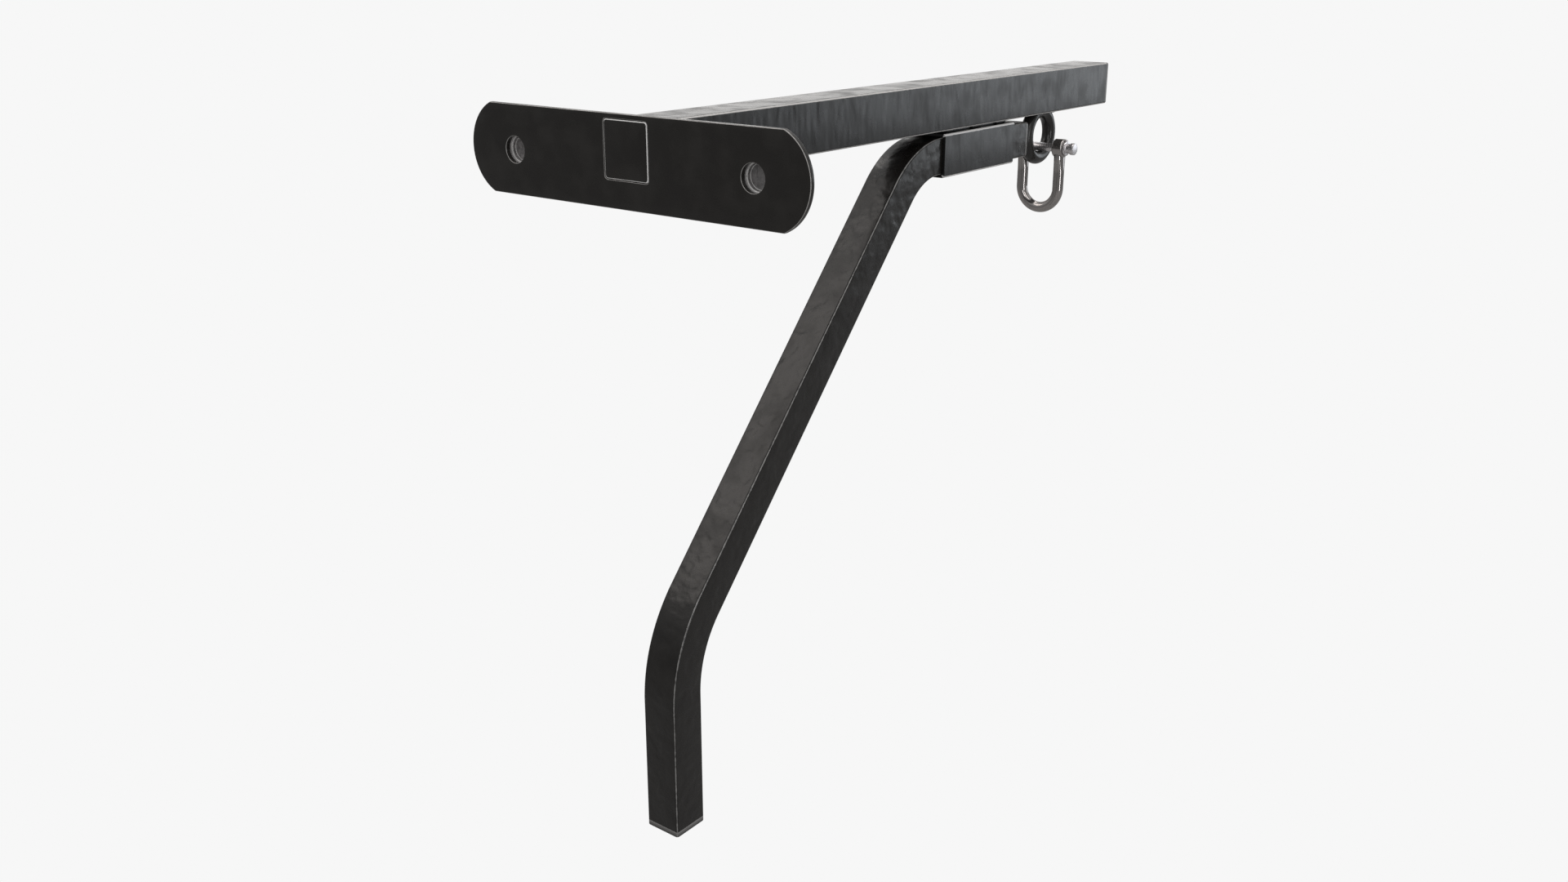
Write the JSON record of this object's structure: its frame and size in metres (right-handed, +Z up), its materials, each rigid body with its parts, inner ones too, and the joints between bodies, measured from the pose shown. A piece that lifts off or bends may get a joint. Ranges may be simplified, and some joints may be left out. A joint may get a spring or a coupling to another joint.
{
  "type": "wall bracket for a hanging punch bag",
  "caption": "Wall bracket for an uppercut bag: a square steel arm welded to a wall plate, a bent square strut sliding in a sleeve under the arm, and a shackle on an eye ring.",
  "frame": {"origin": "midway between the two bolt holes, on the plane of the plate's back face", "axes": "+Y into the wall, -Y along the arm away from the wall, +Z up, +X along the plate"},
  "size_m": [0.388, 0.842, 0.702],
  "materials": {
    "frame_paint": "satin",
    "strut_paint": "satin",
    "ring_paint": "satin",
    "weld_paint": "satin",
    "cap_plastic": "matte",
    "cover_metal": "dull",
    "zinc_steel": "satin",
    "polished_steel": "polished"
  },
  "bodies": {
    "frame": {"wall_plate": "frame_paint", "plate_welds": "weld_paint", "bolt_cover_left": "cover_metal", "bolt_cover_right": "cover_metal", "arm_tube": "frame_paint", "arm_root_plate": "frame_paint", "arm_end_cap": "cap_plastic", "sleeve_tube": "frame_paint", "sleeve_spacer": "frame_paint", "sleeve_welds": "weld_paint", "clamp_nut_rear": "weld_paint", "clamp_nut_front": "weld_paint", "eye_ring": "ring_paint", "eye_ring_welds": "weld_paint"},
    "strut": {"strut_tube": "strut_paint", "strut_foot_cap": "cap_plastic", "strut_end_cap": "cap_plastic"},
    "rear_screw": {"clamp_screw_rear": "zinc_steel"},
    "front_screw": {"clamp_screw_front": "zinc_steel"},
    "shackle": {"shackle_bow": "polished_steel"},
    "pin": {"shackle_pin": "polished_steel"}
  },
  "joints": [
    {"name": "strut_slide", "type": "slide", "parent": "frame", "child": "strut", "axis": [0, 1, 0], "range_m": [0, 0.018]},
    {"name": "rear_screw_draw", "type": "slide", "parent": "frame", "child": "rear_screw", "axis": [1, 0, 0], "range_m": [0, 0.01]},
    {"name": "front_screw_draw", "type": "slide", "parent": "frame", "child": "front_screw", "axis": [1, 0, 0], "range_m": [0, 0.01]},
    {"name": "shackle_swing", "type": "hinge", "parent": "frame", "child": "shackle", "pos_m": [-0.007, -0.713, -0.0577], "axis": [1, 0, 0], "range_deg": [-110, 75]},
    {"name": "shackle_pin_draw", "type": "slide", "parent": "shackle", "child": "pin", "axis": [-1, 0, 0], "range_m": [0, 0.047]}
  ]
}
